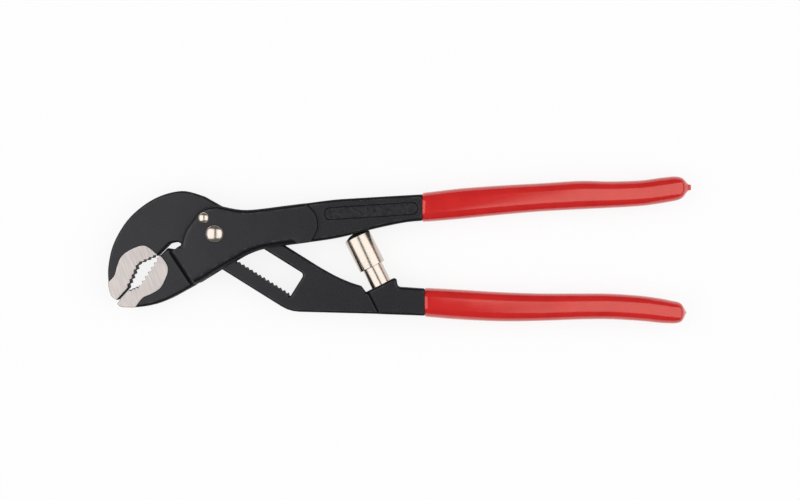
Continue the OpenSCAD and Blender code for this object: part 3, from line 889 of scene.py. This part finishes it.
    def build(self) -> bpy.types.Object:
        """Build and dress the part.

        Returns:
            The part's object, with even shading on its flats and sharp edges inside the grip.
        """
        mesh = self.rounded()
        self.dress(mesh)
        mesh.shade_smooth()
        mesh.set_sharp_from_angle(angle=math.radians(self.crease_deg))
        for edge in mesh.edges:
            if min(mesh.vertices[v].co.x for v in edge.vertices) > self.end_x - self.end_under_mm * MM:
                edge.use_edge_sharp = True
        piece = new_piece(self.name, mesh, self.body, self.node)
        even = piece.modifiers.new("flat_faces", "WEIGHTED_NORMAL")
        even.keep_sharp = True
        return piece


@dataclass
class ForgedLever(RoundedPart):
    """A forged lever: satin faces, dark walls and ground jaw sides."""

    rise_slack_mm: float = 0.05
    wall_rise_mm: float = 0.1
    dark_tilt: float = 0.60
    crease_tilt: float = 0.95
    pad_tilt: float = 0.90
    # The painted shade of a rim grows from nothing to full as its faces lean over this range
    bend_tilt: float = 0.99
    bend_range: float = 0.07

    def zone(self, face: bpy.types.MeshPolygon, rise_mm: float, sunk: bool) -> Zone:
        """Find the zone of a face.

        Args:
            face: The face.
            rise_mm: Height of its flat above the middle plane, 0 for a wall.
            sunk: Whether it lies in the fillet at the foot of a step.

        Returns:
            The zone, which says how the face is finished.
        """
        tilt = abs(face.normal.z)
        if rise_mm < self.wall_rise_mm or tilt < self.dark_tilt:
            return Zone.WALL
        # Steep faces of a fillet take the painted crease shade
        if sunk and tilt < self.crease_tilt:
            return Zone.CREASE_SHADE
        if abs(rise_mm - PAD) < self.rise_slack_mm and tilt > self.pad_tilt:
            return Zone.PAD
        return Zone.PANEL if abs(rise_mm - PANEL) < self.rise_slack_mm else Zone.FACE

    def dress(self, mesh: bpy.types.Mesh) -> None:
        """Give each zone of the lever its finish and mark how far its faces bend away at the rims.

        Args:
            mesh: The rounded mesh, which gets materials and the attribute "bend".
        """
        for finish in (BLACK, SCALE, GROUND, PEBBLE, CREASE_SHADE):
            mesh.materials.append(finish.material())
        rise, wear_sheen_and_sunk = mesh.attributes["rise"], mesh.attributes["wear_sheen_and_sunk"]
        leans: Dict[int, Vector] = {}
        for face in mesh.polygons:
            height = rise.data[face.index].value
            sunk = any(wear_sheen_and_sunk.data[index].value < 0 for index in face.vertices)
            face.material_index = self.zone(face, height, sunk).value
            for index in face.vertices if height > self.wall_rise_mm else ():
                leans[index] = leans.get(index, Vector()) + face.normal
        # The bend sets how much painted shade a rim takes
        bend = mesh.attributes.new("bend", "FLOAT", "POINT")
        for index, lean in leans.items():
            share = (self.bend_tilt - abs(lean.normalized().z)) / self.bend_range
            bend.data[index].value = min(1.0, max(0.0, share))


@dataclass
class MilledPart(RoundedPart):
    """A small milled or bent part of one finish."""

    finish: Finish = PAWL_STEEL

    def dress(self, mesh: bpy.types.Mesh) -> None:
        """Give the part its one finish."""
        mesh.materials.append(self.finish.material())


@dataclass
class DippedGrip:
    """A dipped grip: a coat with a rounded mouth, swept along the CAD grip's own stations.

    A station holds the distance along the tool, the side position, the half width and the half thickness, in metres.
    """

    node: str
    body: str
    name: str
    lip_mm: float = 1.5
    lip_drop_mm: float = 0.7
    lip_steps: int = 6
    step_mm: float = 1.5
    sides: int = 56
    squareness: float = 0.86
    cad_sides: int = 20
    cad_squareness: float = 0.72
    cad_rings_per_mm: int = 50
    tip_mm: float = 3.6
    round_slack_mm: float = 0.005
    end_gap_mm: float = 0.2
    crease_deg: float = 50.0

    def bulge(self, share: float, squareness: float) -> float:
        """Return the section's place on an axis for a cosine or sine."""
        return math.copysign(abs(share) ** squareness, share)

    def stations(self, coat: Coat) -> List[Vector]:
        """Read one skin of the CAD grip.

        Args:
            coat: Which of the two skins to read.

        Returns:
            The station of each ring.
        """
        rings: Dict[int, List[bpy.types.MeshVertex]] = {}
        for vert in frame["nodes"][self.node].data.vertices:
            rings.setdefault(round(vert.co.x / MM * self.cad_rings_per_mm), []).append(vert)
        corner = self.bulge(math.cos(math.pi / self.cad_sides), self.cad_squareness)
        made = []
        for key in sorted(rings):
            across = [v.co.y for v in rings[key]]
            centre = Vector((rings[key][0].co.x, (max(across) + min(across)) / 2, MIDDLE))
            ring = [v.co - centre for v in rings[key] if (v.co - centre).dot(v.normal) * coat.value > NO_SIZE]
            if len(ring) >= self.cad_sides:
                made.append(Vector((centre.x, centre.y, max(c.y for c in ring) / corner,
                                    max(c.z for c in ring) / corner)))
        return made

    def ring(self, row: Vector, squareness: float) -> List[Vector]:
        """Draw the section at one station.

        Args:
            row: The station.
            squareness: Power of the section's rounding; 1 is an ellipse.

        Returns:
            Points of the section, or a single point where it has no width.
        """
        distance, side, wide, thick = row
        if wide < NO_SIZE:
            return [Vector((distance, side, MIDDLE))]
        turns = [2 * math.pi * i / self.sides for i in range(self.sides)]
        return [Vector((distance, side + wide * self.bulge(math.cos(a), squareness),
                        MIDDLE + thick * self.bulge(math.sin(a), squareness))) for a in turns]

    def pointed(self, rows: List[Vector]) -> List[Vector]:
        """Return the stations without the blunt end rings, so that the tip tapers to its nub or point."""
        return [row for row in rows if row.z > self.tip_mm * MM or abs(row.z - row.w) < self.round_slack_mm * MM]

    def closed(self, rows: List[Vector], end: float) -> List[Vector]:
        """Return stations that end in a point at a distance along the tool."""
        return through(rows + [Vector((end, rows[-1].y, 0.0, 0.0))], self.step_mm * MM)

    def lip(self, mouth: Vector, beyond: Vector) -> List[Vector]:
        """Round the mouth.

        Args:
            mouth: First station of the coat.
            beyond: The station after it.

        Returns:
            Stations from the face of the mouth to the full section.
        """
        made = []
        for i in range(self.lip_steps + 1):
            turn = math.pi / 2 * i / self.lip_steps
            at = mouth.x + self.lip_mm * MM * (1 - math.cos(turn))
            row = mouth.lerp(beyond, (at - mouth.x) / (beyond.x - mouth.x))
            inset = self.lip_drop_mm * MM * (1 - math.sin(turn))
            made.append(row - Vector((0.0, 0.0, inset, inset)))
        return made

    def build(self) -> bpy.types.Object:
        """Build the grip from the end of its hollow, out over its mouth and on to its tip.

        Returns:
            The grip's object.
        """
        outer = self.pointed(self.stations(Coat.OUTER))
        inner = self.stations(Coat.INNER)
        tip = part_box(self.node)[1].x
        lip = self.lip(outer[0], outer[1])
        gap = self.end_gap_mm * MM
        core = self.closed(inner, inner[-1].x + gap)[::-1]
        coat = lip + [row for row in self.closed(outer, tip) if row.x > lip[-1].x + gap]
        rings = [self.ring(row, self.cad_squareness) for row in core]
        rings += [self.ring(row, self.squareness) for row in coat]
        mesh = skin(self.name, rings, VINYL, self.crease_deg)
        return new_piece(self.name, mesh, self.body, self.node)


@dataclass
class Rivet:
    """A rivet with a domed head in front and a peened end, flush with the steel, behind."""

    node: str
    name: str
    shank_mm: float
    head_mm: float
    head_height_mm: float
    front_mm: float = CHEEK
    flare_mm: float = 0.8
    edge_mm: float = 0.1
    # The peened end's hollow, as shares of its radius and of its depth
    dimple_mm: float = 0.35
    dimple: Tuple[Tuple[float, float], ...] = ((0.0, 1.0), (0.35, 0.7), (0.65, 0.15), (0.85, 0.0))
    head_start_deg: float = 15.0
    dome_steps: int = 16

    def profile(self) -> Profile:
        """Draw half of the rivet's section.

        Returns:
            Radius and height in mm, from the rear to the top of the head.
        """
        shank, head, front = self.shank_mm / 2, self.head_mm / 2, self.front_mm
        wide = shank + self.flare_mm
        rear = [(radius * wide, depth * self.dimple_mm - front) for radius, depth in self.dimple]
        rear += [(wide - self.edge_mm, -front), (wide, self.edge_mm - front), (shank, self.flare_mm - front),
                 (shank, front), (head, front)]
        low = math.radians(self.head_start_deg)
        tall = self.head_height_mm / (1 - math.sin(low))
        turns = [low + (math.pi / 2 - low) * i / self.dome_steps for i in range(1, self.dome_steps)]
        dome = [(head * math.cos(a) / math.cos(low), front + tall * (math.sin(a) - math.sin(low))) for a in turns]
        return rear + dome + [(0.0, front + self.head_height_mm)]

    def build(self) -> bpy.types.Object:
        """Build the rivet where the CAD has it.

        Returns:
            The rivet's object.
        """
        lowest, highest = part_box(self.node)
        centre = (lowest + highest) / 2
        place = Matrix.Translation((centre.x, centre.y, MIDDLE))
        mesh = skin(self.name, turned(self.profile(), place), NICKEL)
        return new_piece(self.name, mesh, "lower_jaw_handle", self.node)


@dataclass
class Strut:
    """The sprung strut: a bored rod in the lower handle, a domed sleeve over it and a coil spring inside.

    Sizes are in mm. Heights run along the strut, from the mouth of its hole in the lower handle.
    """

    mouth: Tuple[float, float] = (-8.0496, -14.7684)
    rod_r: float = 4.45
    rod_low: float = -8.996
    bore_r: float = 3.2
    bore_low: float = -5.996
    collar_r: float = 4.95
    collar_low: float = 11.3
    rod_top: float = 13.3
    rod_edge: float = 0.25
    collar_edge: float = 0.1
    sleeve_r: float = 5.81
    sleeve_low: float = 8.5
    sleeve_edge: float = 0.3
    narrow_r: float = 4.51
    narrow_edge: float = 0.15
    wide_r: float = 5.01
    narrow_top: float = 10.7
    ceiling: float = 21.675
    apex: float = 24.775
    dome_r: float = 9.833
    dome_steps: int = 14
    shoulder: float = 0.35
    edge_steps: int = 4
    coil_r: float = 2.5
    wire_r: float = 0.45
    coil_turns: int = 10
    coil_steps: int = 24
    coil_gap: float = 0.03
    wire_sides: int = 10
    plunge: float = 7.5

    def along(self) -> Vector:
        """Return the direction from the lower handle to the upper one."""
        joint = next(j for j in frame["joints"] if j["name"] == "strut_plunger")
        return -Vector(joint["axis"]).normalized()

    def place(self) -> Matrix:
        """Work out where the strut stands.

        Returns:
            The matrix that carries a Z axis to the strut's axis at its mouth.
        """
        along = self.along()
        across = Vector((along.y, -along.x, 0.0))
        turn = Matrix((across, along.cross(across), along)).transposed().to_4x4()
        return Matrix.Translation((self.mouth[0] * MM, self.mouth[1] * MM, MIDDLE)) @ turn

    def rod(self) -> bpy.types.Object:
        """Build the bored rod with its collar.

        Returns:
            The rod's object.
        """
        edge, fine = self.rod_edge, self.collar_edge
        profile = [(0.0, self.rod_low), (self.rod_r - edge, self.rod_low), (self.rod_r, self.rod_low + edge),
                   (self.rod_r, self.collar_low), (self.collar_r - fine, self.collar_low),
                   (self.collar_r, self.collar_low + fine), (self.collar_r, self.rod_top - edge),
                   (self.collar_r - edge, self.rod_top), (self.bore_r + edge, self.rod_top),
                   (self.bore_r, self.rod_top - edge), (self.bore_r, self.bore_low), (0.0, self.bore_low)]
        mesh = skin("strut_rod_turned", turned(profile, self.place()), NICKEL)
        return new_piece("strut_rod_turned", mesh, "upper_jaw_handle", "strut_rod")

    def sleeve(self) -> bpy.types.Object:
        """Build the domed sleeve with its rounded shoulder and chamfered mouth.

        Returns:
            The sleeve's object.
        """
        ball = (0.0, self.apex - self.dome_r)
        inner = self.sleeve_r - self.shoulder
        low = math.degrees(math.acos(inner / self.dome_r))
        dome = arc(ball, self.dome_r, low, 90.0, self.dome_steps)
        corner = (inner, dome[0][1] - self.shoulder)
        edge = self.sleeve_edge
        profile = [(0.0, self.ceiling), (self.wide_r, self.ceiling), (self.wide_r, self.narrow_top),
                   (self.narrow_r, self.narrow_top), (self.narrow_r, self.sleeve_low + self.narrow_edge),
                   (self.narrow_r + self.narrow_edge, self.sleeve_low)]
        profile += arc((self.sleeve_r - edge, self.sleeve_low + edge), edge, -90.0, 0.0, self.edge_steps)
        profile += arc(corner, self.shoulder, 0.0, low, self.edge_steps) + dome[1:-1] + [(0.0, self.apex)]
        mesh = skin("strut_sleeve_turned", turned(profile, self.place()), NICKEL)
        return new_piece("strut_sleeve_turned", mesh, "sleeve", "strut_sleeve")

    def spring(self) -> bpy.types.Object:
        """Build the coil spring.

        Returns:
            The spring's object.
        """
        low, high = self.bore_low + self.wire_r + self.coil_gap, self.ceiling - self.wire_r - self.coil_gap
        steps = self.coil_steps * self.coil_turns
        sides = [2 * math.pi * k / self.wire_sides for k in range(self.wire_sides)]
        rows = []
        for i in range(steps + 1):
            turn = 2 * math.pi * self.coil_turns * i / steps
            out = Vector((math.cos(turn), math.sin(turn), 0.0))
            centre = out * self.coil_r + Vector((0.0, 0.0, low + (high - low) * i / steps))
            rows.append([self.place() @ ((centre + self.wire_r * (
                out * math.cos(a) + Vector((0.0, 0.0, math.sin(a))))) * MM) for a in sides])
        ends = [[sum(row, Vector()) / len(row)] for row in (rows[0], rows[-1])]
        mesh = skin("strut_spring_coil", [ends[0], *rows, ends[1]], SPRING_STEEL)
        piece = new_piece("strut_spring_coil", mesh, "upper_jaw_handle", "strut_spring")
        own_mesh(piece)
        return piece

    def build(self) -> None:
        """Build the strut's three pieces."""
        self.rod()
        self.sleeve()
        self.spring()


@dataclass
class Studio:
    """A pale floor, two inclined soft panels with a narrow gap above the tool, and the camera."""

    floor_half_m: float = 3.0
    floor_parts: int = 4
    floor_drop_mm: float = 0.1
    floor_colour: str = "#FAFAFA"
    floor_white: float = 0.85
    # Distance from the middle and height of each panel's two long sides
    inner_m: Tuple[float, float] = (0.15, 1.0)
    outer_m: Tuple[float, float] = (0.95, 0.30)
    panel_length_m: float = 1.3
    panel_watts_per_m2: float = 4.6
    room_colour: str = "#F4F6FA"
    room_light: float = 0.15
    camera_height_mm: float = 650.0
    frame_width_mm: float = 344.0

    def paper(self) -> bpy.types.Material:
        """Make the floor's white paper, which takes the tool's shadow and looks white to camera and metal.

        Returns:
            The floor's material.
        """
        paper = bpy.data.materials.new("matt_white_paper")
        paper.use_nodes = True
        tree = paper.node_tree
        shader = tree.nodes["Principled BSDF"]
        shader.inputs["Base Color"].default_value = linear(self.floor_colour)
        shader.inputs["Roughness"].default_value = 1.0
        shader.inputs["Specular IOR Level"].default_value = 0.0
        ray = add_node(tree, "ShaderNodeLightPath")
        seen = add_node(tree, "ShaderNodeMath", {"operation": "MAXIMUM"},
                        {0: ray.outputs["Is Camera Ray"], 1: ray.outputs["Is Glossy Ray"]})
        seen = add_node(tree, "ShaderNodeMath", {"operation": "MAXIMUM"},
                        {0: seen.outputs[0], 1: ray.outputs["Is Transmission Ray"]})
        share = add_node(tree, "ShaderNodeMath", {"operation": "MULTIPLY", 1: self.floor_white},
                         {0: seen.outputs[0]})
        white = add_node(tree, "ShaderNodeEmission", {"Color": linear("#FFFFFF"), "Strength": 1.0})
        both = add_node(tree, "ShaderNodeMixShader", {}, {
            0: share.outputs[0], 1: shader.outputs["BSDF"], 2: white.outputs["Emission"]})
        tree.links.new(both.outputs["Shader"], tree.nodes["Material Output"].inputs["Surface"])
        return paper

    def floor(self) -> None:
        """Lay the floor just below the tool."""
        form = bmesh.new()
        bmesh.ops.create_grid(form, x_segments=self.floor_parts, y_segments=self.floor_parts, size=self.floor_half_m,
                              matrix=Matrix.Translation((0, 0, CAD_BOX[0].z - self.floor_drop_mm * MM)))
        mesh = bpy.data.meshes.new("floor")
        form.to_mesh(mesh)
        form.free()
        mesh.materials.append(self.paper())
        floor = bpy.data.objects.new("floor", mesh)
        bpy.context.scene.collection.objects.link(floor)

    def lights(self) -> None:
        """Hang the two panels and set the room's own pale light."""
        for side in (-1, 1):
            low = Vector((side * self.outer_m[0], 0, self.outer_m[1]))
            high = Vector((side * self.inner_m[0], 0, self.inner_m[1]))
            lamp = bpy.data.lights.new("soft_panel", "AREA")
            lamp.shape = "RECTANGLE"
            lamp.size = (high - low).length
            lamp.size_y = self.panel_length_m
            lamp.energy = lamp.size * lamp.size_y * self.panel_watts_per_m2
            panel = bpy.data.objects.new("soft_panel", lamp)
            along = (high - low).normalized()
            facing = along.cross(Vector((0, 1, 0)))
            if facing.z > 0:
                facing.negate()
            turn = Matrix((along, (-facing).cross(along), -facing)).transposed().to_4x4()
            panel.matrix_world = Matrix.Translation((low + high) / 2) @ turn
            panel.visible_camera = False
            bpy.context.scene.collection.objects.link(panel)
        world = bpy.data.worlds.new("studio")
        world.use_nodes = True
        sky = world.node_tree.nodes["Background"]
        sky.inputs["Color"].default_value = linear(self.room_colour)
        sky.inputs["Strength"].default_value = self.room_light
        bpy.context.scene.world = world

    def camera(self) -> None:
        """Set the camera straight above the tool."""
        view = bpy.data.cameras.new("camera")
        view.sensor_fit = "HORIZONTAL"
        view.sensor_width = SENSOR_MM
        view.lens = SENSOR_MM * self.camera_height_mm / self.frame_width_mm
        camera = bpy.data.objects.new("camera", view)
        camera.location = (0.0, 0.0, MIDDLE + self.camera_height_mm * MM)
        bpy.context.scene.collection.objects.link(camera)
        bpy.context.scene.camera = camera

    def build(self) -> None:
        """Build the studio."""
        self.floor()
        self.lights()
        self.camera()
        bpy.context.scene.view_settings.view_transform = "Standard"


def main() -> None:
    """Build every piece and the studio."""
    logging.basicConfig(level=logging.INFO, format="%(message)s")
    ForgedLever("lower_jaw_lever", "lower_jaw_handle", "lower_jaw_lever_forging", "black_steel",
                rims_mm={CHEEK: 1.9, SHANK: 1.4, PANEL: 0.2, PAD: 0.25, ARM: 1.2},
                steps_mm={SHANK: 0.55, PANEL: 0.2, ARM: 2.9},
                low_rims_mm={CHEEK: 2.9, SHANK: 1.4, PANEL: 0.2, PAD: 0.25, ARM: 1.4}, end_x=9.33 * MM).build()
    ForgedLever("upper_jaw_lever", "upper_jaw_handle", "upper_jaw_lever_forging", "black_steel",
                rims_mm={BOSS: 1.2, PAD: 0.25, ARM: 1.0}, steps_mm={ARM: 1.7}, end_x=10.33 * MM).build()
    DippedGrip("upper_grip", "lower_jaw_handle", "upper_grip_coat").build()
    DippedGrip("lower_grip", "upper_jaw_handle", "lower_grip_coat").build()
    Rivet("pivot_rivet", "pivot_rivet_domed", shank_mm=5.2, head_mm=7.8, head_height_mm=1.8).build()
    Rivet("stop_rivet", "stop_rivet_domed", shank_mm=3.2, head_mm=4.8, head_height_mm=1.3).build()
    MilledPart("ratchet_pawl", "pawl", "ratchet_pawl_milled", "pawl_steel",
               rims_mm={PAWL_SIDE: 0.25}, steps_mm={PAWL_SIDE: 0.3}).build()
    MilledPart("pawl_spring", "pawl", "pawl_spring_leaf", "spring_steel",
               rims_mm={LEAF_SIDE: 0.08}, steps_mm={LEAF_SIDE: 0.1}, finish=SPRING_STEEL).build()
    Strut().build()
    Studio().build()


if __name__ == "__main__":
    main()
